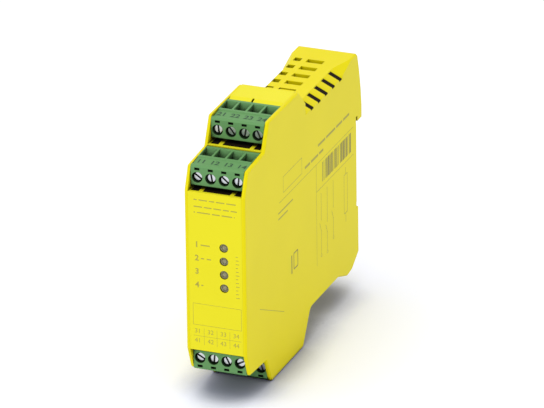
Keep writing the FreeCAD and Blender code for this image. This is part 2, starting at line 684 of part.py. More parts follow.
def screw(label, row, below, number):
    place = row_place(row, below)
    sign = "-" if below else ""
    body = new_body("screw_%s_%d" % (label, number + 1),
                    (sign + "(%s)" % pole_x(number), place[1], "%s + %s(screw_up)" % (place[2], sign)), below)
    head_end = "head_sunk + head_high"
    pad(body, "XZ", "head_sunk", head_end, circles=[("0", "0", "head_radius")])
    pad(body, "XZ", head_end, BAR_FRONT + " - bar_gap", [round_outline(12, "shank_radius")])
    pocket(body, "XZ", "head_sunk - 0.5", "head_sunk + slot_deep",
           [oblong("-head_radius - 0.5", "head_radius + 0.5", "-slot_wide / 2", "slot_wide / 2")])
    turn = FreeCAD.Rotation(FreeCAD.Vector(0, 1, 0), SLOT_TURNS[label][number])
    body.Placement.Rotation = body.Placement.Rotation * turn
    return body


def clamp(label, row, below, number):
    place = row_place(row, below)
    sign = "-" if below else ""
    body = new_body("clamp_%s_%d" % (label, number + 1),
                    (sign + "(%s)" % pole_x(number), place[1], "%s + %s(screw_up)" % (place[2], sign)), below)
    half = "(chamber_half - clamp_gap)"
    end = "(%s) + clamp_long" % CLAMP_REST
    pad(body, "YZ", "-" + half, half, [oblong(CLAMP_REST, end, "-clamp_high / 2", "clamp_high / 2")])
    inside = "(chamber_half - clamp_gap - clamp_wall)"
    pocket(body, "YZ", "-" + inside, inside,
           [oblong("(%s) + clamp_nut" % CLAMP_REST, "(%s) - clamp_foot" % end, "-clamp_high", "clamp_high")])
    pocket(body, "XZ", "(%s) - 1" % CLAMP_REST, "(%s) + clamp_nut + 0.5" % CLAMP_REST,
           [round_outline(8, "(shank_radius + thread_gap) / cos(22.5)")])
    return body


def header(label, row, below):
    body = new_body("header_" + label, row_place(row, below), below)
    front = "plug_long + 0.4"
    inner_end = "plug_long + nose_long + 0.2"
    end = inner_end + " + header_back"
    half = "(nose_half + header_gap + header_wall)"
    low = "(nose_low - header_gap - header_wall)"
    high = "(nose_high + header_gap + header_wall)"
    pad(body, "YZ", "-" + half, half, [oblong(front, end, low, high)])
    pocket(body, "YZ", "-(nose_half + header_gap)", "nose_half + header_gap",
           [oblong(front + " - 1", inner_end, "nose_low - header_gap", "nose_high + header_gap")])
    holes = [oblong(pole_x(number) + " - pin_thick / 2", pole_x(number) + " + pin_thick / 2",
                    "screw_up - pin_thick / 2", "screw_up + pin_thick / 2") for number in POLES]
    pocket(body, "XZ", inner_end + " - 1", end + " + 1", holes)
    # Feet that seat the header on the shelf on either side of the nose.
    pad(body, "YZ", "-" + half, half, [oblong(end + " - header_back", end, "-plug_shelf_gap", low + " + 0.1")])
    return body


def header_pins():
    """All sixteen pins: straight through a header's back wall, then bent to the circuit board."""
    body = new_body("header_pins")
    board_face = "-(width / 2 - wall - board_gap)"
    for label, row, below in ROWS:
        up = "(panel_half + plug_shelf_gap + %d * row_rise + screw_up)" % row
        level = "-" + up if below else up
        back_wall = "plug_front + %d * row_step + plug_long + nose_long + 0.2" % row
        for number in POLES:
            middle = pole_x(number)
            bend = back_wall + " + header_back + leg_first + %d * leg_step" % number
            corners = [(middle + " - pin_thick / 2", at(back_wall + " - pin_reach")),
                       (middle + " + pin_thick / 2", at(back_wall + " - pin_reach")),
                       (middle + " + pin_thick / 2", at(bend + " + pin_thick / 2")),
                       (board_face, at(bend + " + pin_thick / 2")),
                       (board_face, at(bend + " - pin_thick / 2")),
                       (middle + " - pin_thick / 2", at(bend + " - pin_thick / 2"))]
            pad(body, "XY", level + " - pin_thick / 2", level + " + pin_thick / 2", [corners])
    return body


# ---------------------------------------------------------------- circuit board and its parts
BOARD_FACE = "-(width / 2 - wall - board_gap - board_thick)"


def main_board():
    body = new_body("main_board")
    behind = "plug_front + plug_long + nose_long + header_back + 0.6 + board_edge"
    low = "base_half - skin"
    corners = [(at("plug_front"), "panel_half - shelf - board_edge"),
               (at(behind), "panel_half - shelf - board_edge"),
               (at(behind), "step_half + 0.4 - shelf - board_edge"),
               (at(behind + " + row_step"), "step_half + 0.4 - shelf - board_edge"),
               (at(behind + " + row_step"), "block_half - skin - 1.6"),
               (at("block_back"), "block_half - skin - 1.6"),
               (at("bevel_front - 1.3"), "top_half - 1"),
               (at("bevel_front - 1.3"), "top_half - bevel_down - 0.8"),
               ("-skin - 1.4", "top_half - bevel_down - 0.8"),
               ("-skin - 1.4", "-(rail_half - 4.4)"),
               ("-(latch_thick + latch_gap + channel_wall + 0.3)", "-(rail_half - 4.4)"),
               ("-(latch_thick + latch_gap + channel_wall + 0.3)", "-(%s)" % low),
               (at("base_back + base_run - 1.3"), "-(%s)" % low),
               (at("base_back - 0.2"), "-(block_half - skin - 1.6)"),
               (at(behind + " + row_step"), "-(block_half - skin - 1.6)"),
               (at(behind + " + row_step"), "-(step_half + 0.4 - shelf - board_edge)"),
               (at(behind), "-(step_half + 0.4 - shelf - board_edge)"),
               (at(behind), "-(panel_half - shelf - board_edge)"),
               (at("plug_front"), "-(panel_half - shelf - board_edge)")]
    back = "-(width / 2 - wall - board_gap)"
    pad(body, "YZ", back, BOARD_FACE, [corners])
    holes = []
    for label, row, below in ROWS:
        up = "(panel_half + plug_shelf_gap + %d * row_rise + screw_up)" % row
        level = "-" + up if below else up
        back_wall = "plug_front + %d * row_step + plug_long + nose_long + 0.2" % row
        for number in POLES:
            bend = back_wall + " + header_back + leg_first + %d * leg_step" % number
            holes.append(oblong(at(bend + " - pin_thick / 2"), at(bend + " + pin_thick / 2"),
                                level + " - pin_thick / 2", level + " + pin_thick / 2"))
    pocket(body, "YZ", back + " - 1", BOARD_FACE + " + 1", holes)
    return body


def safety_relay(number):
    body = new_body("relay_k%d" % (number + 1))
    front = "relay_first + %d * (relay_wide + relay_gap)" % number
    case = [oblong(at(front), at(front + " + relay_wide"), "-relay_long / 2", "relay_long / 2")]
    pad(body, "YZ", BOARD_FACE + " + relay_base", BOARD_FACE + " + relay_high", case)
    top = -(size("width") / 2 - size("wall") - size("board_gap") - size("board_thick")) + size("relay_high")
    soften(body, "Chamfer", "0.6", lambda edge: edge.BoundBox.XMin > top - SAME)
    base = [oblong(at(front + " - relay_lip"), at(front + " + relay_wide + relay_lip"),
                   "-relay_long / 2 - relay_lip", "relay_long / 2 + relay_lip")]
    pad(body, "YZ", BOARD_FACE, BOARD_FACE + " + relay_base", base)
    return body


def capacitors():
    body = new_body("capacitors")
    for side in ("", "-"):
        spot = (at("cap_depth"), side + "cap_half", "cap_radius")
        pad(body, "YZ", BOARD_FACE, BOARD_FACE + " + cap_high", circles=[spot])
    return body


def choke():
    body = new_body("choke")
    flange = [oblong(at("choke_depth - choke_wide / 2"), at("choke_depth + choke_wide / 2"),
                     "-choke_long / 2", "choke_long / 2")]
    core = [oblong(at("choke_depth - choke_wide / 2 + 1.5"), at("choke_depth + choke_wide / 2 - 1.5"),
                   "-choke_long / 2 + 1.5", "choke_long / 2 - 1.5")]
    pad(body, "YZ", BOARD_FACE, BOARD_FACE + " + 1.2", flange)
    pad(body, "YZ", BOARD_FACE + " + 1.2", BOARD_FACE + " + choke_high - 1.2", core)
    pad(body, "YZ", BOARD_FACE + " + choke_high - 1.2", BOARD_FACE + " + choke_high", flange)
    return body


def chips():
    body = new_body("chips")
    for row in ("-1", "0", "1"):
        for column in (0, 1):
            depth = "chip_depth + %d * chip_step" % column
            middle = "%s * chip_step" % row if column == 0 else "%s * chip_step * 0.5" % row
            if column == 1 and row == "0":
                continue
            pad(body, "YZ", BOARD_FACE, BOARD_FACE + " + chip_high",
                [oblong(at(depth + " - chip_wide / 2"), at(depth + " + chip_wide / 2"),
                        middle + " - chip_long / 2", middle + " + chip_long / 2")])
    return body


def fuse():
    body = new_body("fuse")
    low = "choke_long / 2 + 3"
    pad(body, "YZ", BOARD_FACE, BOARD_FACE + " + fuse_high",
        [oblong(at("choke_depth - fuse_wide / 2"), at("choke_depth + fuse_wide / 2"), low, low + " + fuse_wide")])
    return body


def lamp_holder():
    body = new_body("lamp_holder")
    low = "lamp_top - (lamp_count - 1) * lamp_pitch - holder_edge"
    high = "lamp_top + holder_edge"
    front = "lamp_long + lamp_sunk"
    pad(body, "YZ", BOARD_FACE, "lamp_x + holder_edge - 0.6", [oblong(at(front), at(front + " + holder_deep"), low, high)])
    return body


def lamps():
    body = new_body("lamps")
    spots = ["lamp_top - %d * lamp_pitch" % number for number in range(int(size("lamp_count")))]
    lens = [("lamp_x", spot, "lamp_radius") for spot in spots]
    pad(body, "XZ", at("lamp_sunk"), at("lamp_sunk + lamp_long"), circles=lens)
    return body


# ---------------------------------------------------------------- latch that grips the rail, and its spring
def foot_latch():
    body = new_body("foot_latch")
    hook_top = "-(rail_half + rail_gap + 0.3)"
    section = [("-latch_thick", hook_top),
               ("brim + rail_gap", hook_top),
               ("brim + rail_gap", "-(rail_half - hook_bite - 0.2)"),
               ("brim + rail_gap + 0.6", "-(rail_half - hook_bite - 0.2)"),
               ("brim + rail_gap + latch_nose", "-(rail_half - hook_bite + 1.5)"),
               ("brim + rail_gap + latch_nose", hook_top + " - 1.6"),
               ("lower_out - keeper - latch_gap", hook_top + " - 2.4"),
               ("lower_out - keeper - latch_gap", "-(toe_half - 0.4)"),
               ("-toe_in - 1", "-toe_half"),
               ("-arch_in + 1.2", "-toe_half + 1"),
               ("-arch_in + 0.4", "-(base_half + latch_gap)"),
               ("-latch_thick", "-(base_half + latch_gap)")]
    pad(body, "YZ", "-latch_half", "latch_half", [section])
    # The nose is narrower, to pass between the lips of the channel.
    narrow = "(latch_half - keeper - 0.2)"
    for side in ("", "-"):
        low = side + narrow
        high = side + "(latch_half + 1)"
        pocket(body, "YZ", low if side == "" else high, high if side == "" else low,
               [oblong("lower_out - keeper - latch_gap", "brim + rail_gap + latch_nose + 1",
                       hook_top + " - 3", "-(rail_half - hook_bite - 1)")])
    window = [oblong("-spring_half - 0.2", "spring_half + 0.2",
                     "-(spring_top + spring_long + 2 + latch_travel)", "-spring_top")]
    pocket(body, "XZ", "-latch_thick - 1", "lower_out + 1", window)
    slot = [oblong("-driver_slot * 1.8", "driver_slot * 1.8", "-arch_in + 2.4", "-arch_in + 2.4 + driver_slot")]
    pocket(body, "XY", "-toe_half - 1", "-base_half", slot)
    return body


def latch_spring():
    """A folded strip that stands on the housing's peg and lifts the latch."""
    body = new_body("latch_spring", ("0", "-0.9", "-(spring_top + spring_long)"))
    rise = "((spring_long - spring_strip) / spring_folds)"
    inset = "(spring_half - spring_strip * spring_half / %s)" % rise
    folds = int(size("spring_folds"))
    rising = [("-spring_half", "0")]
    falling = [("-spring_half", "spring_strip")]
    for number in range(1, folds):
        right = number % 2 == 1
        side = "" if right else "-"
        level = "%d * %s" % (number, rise)
        outer = [(side + "spring_half", level), (side + "spring_half", level + " + spring_strip")]
        inner = [(side + inset, level + " + spring_strip / 2")]
        rising += outer if right else inner
        falling += inner if right else outer
    rising.append(("spring_half", "spring_long - spring_strip"))
    falling.append(("spring_half", "spring_long"))
    pad(body, "XZ", "-spring_half / 2", "spring_half / 2", [rising + falling[::-1]])
    return body


# ---------------------------------------------------------------- assembly
pieces = [housing_base(), front_cover(), foot_latch(), latch_spring(), main_board(),
          safety_relay(0), safety_relay(1), capacitors(), choke(), chips(), fuse(),
          lamp_holder(), lamps(), header_pins()]
for label, row, below in ROWS:
    pieces.append(plug(label, row, below))
    pieces.append(contacts(label, row, below))
    pieces.append(header(label, row, below))
    for number in POLES:
        pieces.append(screw(label, row, below, number))
        pieces.append(clamp(label, row, below, number))

doc.recompute()
for thing in doc.Objects:
    if "Invalid" in thing.State or "Error" in thing.State:
        raise RuntimeError("%s did not build" % thing.Label)
os.makedirs("parts", exist_ok=True)
for piece in pieces:
    if piece.Shape.isNull() or not piece.Shape.isValid():
        raise RuntimeError("%s has no sound shape" % piece.Label)
for piece in pieces:
    piece.Shape.exportStep("parts/%s.step" % piece.Label)
    print("%-24s %d solids %9.1f mm3" % (piece.Label, len(piece.Shape.Solids), piece.Shape.Volume))
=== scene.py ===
"""Looks of a slim safety relay on a mounting rail: moulded housing, plug-in terminals, lamps and prints."""
import json
import math

import bmesh
import bpy
from mathutils import Matrix, Vector


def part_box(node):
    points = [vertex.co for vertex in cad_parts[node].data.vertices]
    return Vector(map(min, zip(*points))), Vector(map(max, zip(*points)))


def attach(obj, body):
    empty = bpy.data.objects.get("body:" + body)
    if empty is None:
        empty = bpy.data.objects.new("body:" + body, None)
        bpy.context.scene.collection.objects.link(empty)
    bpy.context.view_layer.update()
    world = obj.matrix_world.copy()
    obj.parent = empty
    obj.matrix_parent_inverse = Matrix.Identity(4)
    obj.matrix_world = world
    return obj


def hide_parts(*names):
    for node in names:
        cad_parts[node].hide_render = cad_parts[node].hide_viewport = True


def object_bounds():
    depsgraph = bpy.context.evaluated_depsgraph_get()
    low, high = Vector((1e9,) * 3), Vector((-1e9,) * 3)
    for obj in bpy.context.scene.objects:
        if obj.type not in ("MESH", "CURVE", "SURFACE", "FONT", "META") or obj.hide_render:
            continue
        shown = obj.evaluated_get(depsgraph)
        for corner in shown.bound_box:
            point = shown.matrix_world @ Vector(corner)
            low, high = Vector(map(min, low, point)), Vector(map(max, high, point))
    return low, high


bl_info = {
    "name": "Safety relay looks",
    "version": (1, 0, 0),
    "blender": (4, 5, 0),
    "location": "3D View > Sidebar > Relay",
    "description": "Finishes, terminal screws, lamps and prints of a slim safety relay",
    "category": "Object",
}

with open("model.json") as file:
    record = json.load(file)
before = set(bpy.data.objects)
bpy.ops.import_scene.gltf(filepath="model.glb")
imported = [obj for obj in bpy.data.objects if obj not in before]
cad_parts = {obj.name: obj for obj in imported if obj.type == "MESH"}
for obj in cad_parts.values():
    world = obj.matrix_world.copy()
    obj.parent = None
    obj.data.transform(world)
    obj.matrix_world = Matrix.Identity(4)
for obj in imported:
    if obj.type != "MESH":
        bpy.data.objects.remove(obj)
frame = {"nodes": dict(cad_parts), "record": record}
CAD_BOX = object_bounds()
MM = 0.001
ROWS = ("upper_front", "upper_rear", "lower_front", "lower_rear")
LAMPS = 4
POLES = 4
POLE_PITCH = 5.0 * MM
# The front panel's face, the right side wall, and the height that the rear bevels fall from.
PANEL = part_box("front_cover")[0].y
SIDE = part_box("housing_base")[1].x
TOP_HALF = 42 * MM
# A print stands this far proud of its wall, so that the two never share a plane.
PRINT_LIFT = 0.01 * MM
# Moulded plastics: a usual IOR, and the specular level of an eroded skin, where 0.5 is a polished one.
PLASTIC_IOR = 1.53
SKIN_GLOSS = 0.11
# Text that faces the front, the right side, the sky and the ground.
# The columns are where its own x, y and z go.
FACING_FRONT = Matrix(((1, 0, 0), (0, 0, -1), (0, 1, 0)))
FACING_RIGHT = Matrix(((0, 0, 1), (1, 0, 0), (0, 1, 0)))
FACING_UP = Matrix(((1, 0, 0), (0, 1, 0), (0, 0, 1)))
FACING_DOWN = Matrix(((1, 0, 0), (0, -1, 0), (0, 0, -1)))


def linear(code):
    """A colour written as sRGB hex, turned to the linear values that nodes take."""
    parts = [int(code[place:place + 2], 16) / 255 for place in (0, 2, 4)]
    return tuple(part / 12.92 if part <= 0.04045 else ((part + 0.055) / 1.055) ** 2.4 for part in parts)


# ---------------------------------------------------------------- what a user would change
def colour(name, description, code):
    """A colour that a user may change, from its sRGB hex."""
    return bpy.props.FloatVectorProperty(name=name, description=description, subtype="COLOR",
                                         size=3, min=0, max=1, default=linear(code))


def length(name, description, millimetres):
    """A length that a user may change."""
    return bpy.props.FloatProperty(name=name, description=description, unit="LENGTH", precision=5,
                                   min=0, default=millimetres * MM)


class RelayPlastics(bpy.types.PropertyGroup):
    housing: colour("Housing", "Moulded side walls, top and rear", "EDDE04")
    cover: colour("Cover", "Front panel and shelves", "EEE423")
    plug: colour("Plugs", "Terminal plugs", "689A5F")
    header: colour("Headers", "Sockets behind the plugs", "5F9A55")
    lens: colour("Lamps", "Diffuse lamp lenses, unlit", "94906E")
    # The collars' dark colour is painted shade of the well round each lens.
    collar: colour("Lamp collars", "Darker ring round each lens", "423E22")
    # Painted shade: the near-black colour of the pieces set in the openings, where only shadow shows.
    inside: colour("Inside", "Unlit inner walls seen through the openings", "1A0E02")
    grain: length("Grain", "Size of the mould's fine texture", 0.35)
    edge: length("Edge radius", "Rounding that catches the light on moulded edges", 0.22)


class RelayPrint(bpy.types.PropertyGroup):
    panel_ink: colour("Panel ink", "Thin marks on the front panel", "B0A636")
    side_ink: colour("Side ink", "Marks on the side wall", "ABA12E")
    bar_ink: colour("Bar ink", "Bars and the small mark on the side wall", "857C2C")
    plug_ink: colour("Plug ink", "Pole numbers on the plugs", "22492A")
    rule: length("Rule width", "Width of the printed lines", 0.18)
    panel_figure: length("Panel figures", "Height of the figures on the panel", 1.7)
    lamp_figure: length("Lamp figures", "Height of the figures beside the lamps", 2.125)
    plug_figure: length("Plug figures", "Height of the pole numbers", 2.5)


class RelayScrews(bpy.types.PropertyGroup):
    head: length("Head radius", "Radius of a clamp screw's head", 1.62)
    sunk: length("Sunk", "How far the head lies behind the front of its seat", 0.3)
    slot: length("Slot width", "Driver slot across the head", 0.7)
    depth: length("Slot depth", "Depth of the driver slot", 0.75)
    edge: length("Head edge", "Rounding of the head's rim", 0.2)
    shank: length("Shank radius", "Radius of the threaded shank", 1.45)


class RelayStudio(bpy.types.PropertyGroup):
    azimuth: bpy.props.FloatProperty(name="Azimuth", description="Camera's turn to the right of the front",
                                     subtype="ANGLE", default=math.radians(21.6))
    elevation: bpy.props.FloatProperty(name="Elevation", description="Camera's height above the horizon",
                                       subtype="ANGLE", default=math.radians(23.5))
    roll: bpy.props.FloatProperty(name="Roll", description="Camera's turn about its own axis",
                                  subtype="ANGLE", default=math.radians(-0.7))
    distance: length("Distance", "From the camera to the module's middle", 2500)
    aside: length("Aside", "How far the module sits to the right of the view's middle", 1.2)
    lens: bpy.props.FloatProperty(name="Lens", description="Focal length in millimetres", default=468)
    drop: length("Drop", "How far the module sits below the middle of the view", 3.1)
    contact: length("Contact shadow", "Reach of the deeper shadow round the foot", 22)
    floor: colour("Floor", "Pale floor and backdrop", "F0F2FC")


# ---------------------------------------------------------------- node and mesh helpers
def add_node(tree, kind, inputs=None, **settings):
    """Add a node, set its own properties, and give its inputs values or links."""
    made = tree.nodes.new(kind)
    for name, value in settings.items():
        setattr(made, name, value)
    for name, value in (inputs or {}).items():
        if isinstance(value, bpy.types.NodeSocket):
            tree.links.new(value, made.inputs[name])
        else:
            made.inputs[name].default_value = value
    return made


def new_material(name):
    """A material with an empty tree, and that tree."""
    material = bpy.data.materials.new(name)
    material.use_nodes = True
    material.node_tree.nodes.clear()
    return material, material.node_tree


def shaded(tree, shader):
    """Make the shader the material's surface."""
    add_node(tree, "ShaderNodeOutputMaterial", {"Surface": shader.outputs["BSDF"]})


def tinted(base, factor):
    """The colour made lighter or darker by a factor, with its alpha."""
    return tuple(min(1.0, part * factor) for part in base) + (1,)


def darkened_inside(tree, tone, dark, reach, shut, clear):
    """Painted shade: the tone, fading to the dark one where less than a clear share of the sky is seen within
    the reach.
    """
    sky = add_node(tree, "ShaderNodeAmbientOcclusion", {"Distance": reach}, samples=8)
    share = add_node(tree, "ShaderNodeMapRange", {"Value": sky.outputs["AO"], "From Min": shut,
                                                  "From Max": clear}, interpolation_type="SMOOTHSTEP")
    return add_node(tree, "ShaderNodeMix", {"Factor": share.outputs["Result"], "A": dark,
                                            "B": tone.outputs["Result"]}, data_type="RGBA")


def seen_directly(tree):
    """1 where the camera, a gloss or glass looks straight at it, and 0 for the light on the object."""
    ray = add_node(tree, "ShaderNodeLightPath")
    seen = ray.outputs["Is Camera Ray"]
    for kind in ("Is Glossy Ray", "Is Transmission Ray"):
        larger = add_node(tree, "ShaderNodeMath", {0: seen, 1: ray.outputs[kind]}, operation="MAXIMUM")
        seen = larger.outputs[0]
    return seen


def moulded_plastic(name, base, roughness, grain, edge, depth=0.01 * MM, shade_reach=3.2 * MM):
    """Injection-moulded thermoplastic: even colour, a fine eroded grain, softly rounded edges and painted
    shade in deep hollows.
    """
    material, tree = new_material(name)
    place = add_node(tree, "ShaderNodeTexCoord").outputs["Object"]
    # Slow flow marks about 30 mm across shift the colour by a hair.
    flow = add_node(tree, "ShaderNodeTexNoise", {"Vector": place, "Scale": 1 / (30 * MM), "Detail": 2.0,
                                                 "Roughness": 0.5})
    tone = add_node(tree, "ShaderNodeMix", {"Factor": flow.outputs["Fac"], "A": tinted(base, 0.955),
                                            "B": tinted(base, 1.03)}, data_type="RGBA")
    # Painted shade: in deep slots and wells the strongly coloured walls are painted nearly black.
    tone = darkened_inside(tree, tone, tinted(base, 0.07), shade_reach, 0.32, 0.76)
    # The mould's eroded texture is about 0.1 mm across, and is drawn a few times coarser so that it shows.
    texture = add_node(tree, "ShaderNodeTexNoise", {"Vector": place, "Scale": 1 / grain, "Detail": 3.0,
                                                    "Roughness": 0.6})
    gloss = add_node(tree, "ShaderNodeMapRange", {"Value": texture.outputs["Fac"], "To Min": roughness - 0.06,
                                                  "To Max": roughness + 0.08})
    rim = add_node(tree, "ShaderNodeBevel", {"Radius": edge}, samples=6)
    bump = add_node(tree, "ShaderNodeBump", {"Height": texture.outputs["Fac"], "Strength": 0.35,
                                             "Distance": depth, "Normal": rim.outputs["Normal"]})
    shader = add_node(tree, "ShaderNodeBsdfPrincipled",
                      {"Base Color": tone.outputs["Result"], "Roughness": gloss.outputs["Result"],
                       "IOR": PLASTIC_IOR, "Specular IOR Level": SKIN_GLOSS,
                       "Normal": bump.outputs["Normal"]})
    shaded(tree, shader)
    return material


def diffuse_lens(name, base):
    """Lamp resin filled with fine white powder: milky, with a glossy skin and light scattered inside."""
    material, tree = new_material(name)
    place = add_node(tree, "ShaderNodeTexCoord").outputs["Object"]
    # Clouds of powder are drawn 0.9 mm across, coarser than real, so that they show.
    cloud = add_node(tree, "ShaderNodeTexNoise", {"Vector": place, "Scale": 1 / (0.9 * MM), "Detail": 2.0})
    tone = add_node(tree, "ShaderNodeMix", {"Factor": cloud.outputs["Fac"], "A": tinted(base, 0.9),
                                            "B": tinted(base, 1.08)}, data_type="RGBA")
    shader = add_node(tree, "ShaderNodeBsdfPrincipled",
                      {"Base Color": tone.outputs["Result"], "Roughness": 0.22, "IOR": 1.5,
                       "Subsurface Weight": 0.4, "Subsurface Scale": 0.4 * MM,
                       "Subsurface Radius": (1.0, 0.8, 0.5)})
    shaded(tree, shader)
    return material


def plated_metal(name, base, roughness, line):
    """Plated steel or brass: bright, with fine drawn or turned lines of the given spacing, and painted shade
    in narrow slots.
    """
    material, tree = new_material(name)
    place = add_node(tree, "ShaderNodeTexCoord").outputs["Object"]
    # The lines run front to back, about twelve times as long as their spacing, and are coarse enough to show.
    stretched = add_node(tree, "ShaderNodeMapping", {"Vector": place, "Scale": (1.0, 0.08, 1.0)})
    lines = add_node(tree, "ShaderNodeTexNoise", {"Vector": stretched.outputs["Vector"], "Scale": 1 / line,
                                                  "Detail": 2.0})
    # Faint stains about 2 mm across, from the plating bath.
    stain = add_node(tree, "ShaderNodeTexNoise", {"Vector": place, "Scale": 1 / (2.2 * MM), "Detail": 3.0})
    tone = add_node(tree, "ShaderNodeMix", {"Factor": stain.outputs["Fac"], "A": tinted(base, 0.86),
                                            "B": tinted(base, 1.06)}, data_type="RGBA")
    # Painted shade: narrow slots between bright walls are painted dark, as they mirror only each other.
    tone = darkened_inside(tree, tone, tinted(base, 0.1), 1.2 * MM, 0.4, 0.8)
    gloss = add_node(tree, "ShaderNodeMapRange", {"Value": stain.outputs["Fac"], "To Min": roughness - 0.07,
                                                  "To Max": roughness + 0.10})
    bump = add_node(tree, "ShaderNodeBump", {"Height": lines.outputs["Fac"], "Strength": 0.25,
                                             "Distance": 0.006 * MM})
    shader = add_node(tree, "ShaderNodeBsdfPrincipled",
                      {"Base Color": tone.outputs["Result"], "Metallic": 1.0,
                       "Roughness": gloss.outputs["Result"], "Normal": bump.outputs["Normal"]})
    shaded(tree, shader)
    return material


def pad_ink(name, base):
    """Pad-printed ink: a thin matt film that the grain shows through, a little uneven."""
    material, tree = new_material(name)
    place = add_node(tree, "ShaderNodeTexCoord").outputs["Object"]
    # Thin spots about 0.6 mm across, where the pad left less ink.
    wear = add_node(tree, "ShaderNodeTexNoise", {"Vector": place, "Scale": 1 / (0.6 * MM), "Detail": 3.0})
    tone = add_node(tree, "ShaderNodeMix", {"Factor": wear.outputs["Fac"], "A": tinted(base, 0.9),
                                            "B": tinted(base, 1.12)}, data_type="RGBA")
    gloss = add_node(tree, "ShaderNodeMapRange", {"Value": wear.outputs["Fac"], "To Min": 0.5, "To Max": 0.7})
    shader = add_node(tree, "ShaderNodeBsdfPrincipled",
                      {"Base Color": tone.outputs["Result"], "Roughness": gloss.outputs["Result"],
                       "IOR": PLASTIC_IOR})
    shaded(tree, shader)
    return material


def finished(name, mesh, material, body):
    """An object at the origin with its place in its mesh, riding on a body."""
    piece = bpy.data.objects.new(name, mesh)
    bpy.context.scene.collection.objects.link(piece)
    piece.data.materials.clear()
    piece.data.materials.append(material)
    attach(piece, body)
    return piece


def from_bmesh(name, shape):
    """A mesh made of a bmesh, which is then freed."""
    mesh = bpy.data.meshes.new(name)
    shape.to_mesh(mesh)
    shape.free()
    return mesh


def gather(shape, part):
    """Add one bmesh to another."""
    mesh = from_bmesh("part", part)
    shape.from_mesh(mesh)
    bpy.data.meshes.remove(mesh)


def turned_solid(outline, centre):
    """A closed solid turned about a front-to-back axis, from pairs of radius and depth."""
    solid = bmesh.new()
    verts = [solid.verts.new(centre + Vector((out, deep, 0))) for out, deep in outline]
    edges = [solid.edges.new(pair) for pair in zip(verts[:-1], verts[1:])]
    bmesh.ops.spin(solid, geom=verts + edges, cent=centre, axis=(0, 1, 0), angle=math.tau, steps=32,
                   use_merge=True)
    bmesh.ops.remove_doubles(solid, verts=solid.verts[:], dist=0.0005 * MM)
    bmesh.ops.recalc_face_normals(solid, faces=solid.faces[:])
    return solid


def lamp_places():
    """The lamps' middle from side to side, their radius, and their heights from the top down."""
    low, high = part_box("lamps")
    radius = (high.x - low.x) / 2
    pitch = (high.z - low.z - 2 * radius) / (LAMPS - 1)
    return (low.x + high.x) / 2, radius, [high.z - radius - number * pitch for number in range(LAMPS)]


class Print:
    """A sheet of flat marks on one face, written in millimetres and gathered in one mesh."""

    def __init__(self, facing, origin):
        self.shape = bmesh.new()
        self.place = Matrix.Translation(origin) @ facing.to_4x4() @ Matrix.Scale(MM, 4)

    def field(self, left, right, low, high):
        """A filled rectangle."""
        corners = [(left, low), (right, low), (right, high), (left, high)]
        verts = [self.shape.verts.new(self.place @ Vector((across, up, 0))) for across, up in corners]
        self.shape.faces.new(verts)

    def rule(self, start, end, width):
        """A straight line of the given width."""
        start, end = Vector(start), Vector(end)
        side = (end - start).normalized().orthogonal() * width / 2
        corners = [start - side, end - side, end + side, start + side]
        if (end - start).cross(side) < 0:
            corners.reverse()
        verts = [self.shape.verts.new(self.place @ Vector((*corner, 0))) for corner in corners]
        self.shape.faces.new(verts)

    def frame(self, left, right, low, high, width):
        """Four rules round a rectangle."""
        self.rule((left, low), (right, low), width)
        self.rule((left, high), (right, high), width)
        self.rule((left, low), (left, high), width)
        self.rule((right, low), (right, high), width)

    def ring(self, across, up, radius, width):
        """A flat ring, as round a terminal."""
        inner = bmesh.new()
        bmesh.ops.create_circle(inner, segments=24, radius=radius)
        edges = bmesh.ops.extrude_edge_only(inner, edges=inner.edges[:])["geom"]
        outer = [item for item in edges if isinstance(item, bmesh.types.BMVert)]
        grown = 1 + width / radius
        bmesh.ops.scale(inner, verts=outer, vec=(grown, grown, 1))
        bmesh.ops.recalc_face_normals(inner, faces=inner.faces[:])
        if inner.faces[:][0].normal.z < 0:
            bmesh.ops.reverse_faces(inner, faces=inner.faces[:])
        bmesh.ops.transform(inner, matrix=self.place @ Matrix.Translation((across, up, 0)),
                            verts=inner.verts[:])
        gather(self.shape, inner)

    def figures(self, words, height, across, up, weight=0.0):
        """Figures of the given height, thickened by the weight, about their middle."""
        curve = bpy.data.curves.new("figures", "FONT")
        curve.body = words
        # A figure stands about 1 / 1.4 of the font's size.
        curve.size = height * 1.4
        curve.align_x = "CENTER"
        curve.align_y = "CENTER"
        curve.resolution_u = 3
        curve.offset = weight
        written = bpy.data.objects.new("figures", curve)
        bpy.context.scene.collection.objects.link(written)
        bpy.context.view_layer.update()
        mesh = bpy.data.meshes.new_from_object(written)
        bpy.data.objects.remove(written)
        bpy.data.curves.remove(curve)
        mesh.transform(self.place @ Matrix.Translation((across, up, 0)))
        self.shape.from_mesh(mesh)
        bpy.data.meshes.remove(mesh)

    def finish(self, name, material, body):
        """The sheet as one piece."""
        return finished(name, from_bmesh(name, self.shape), material, body)


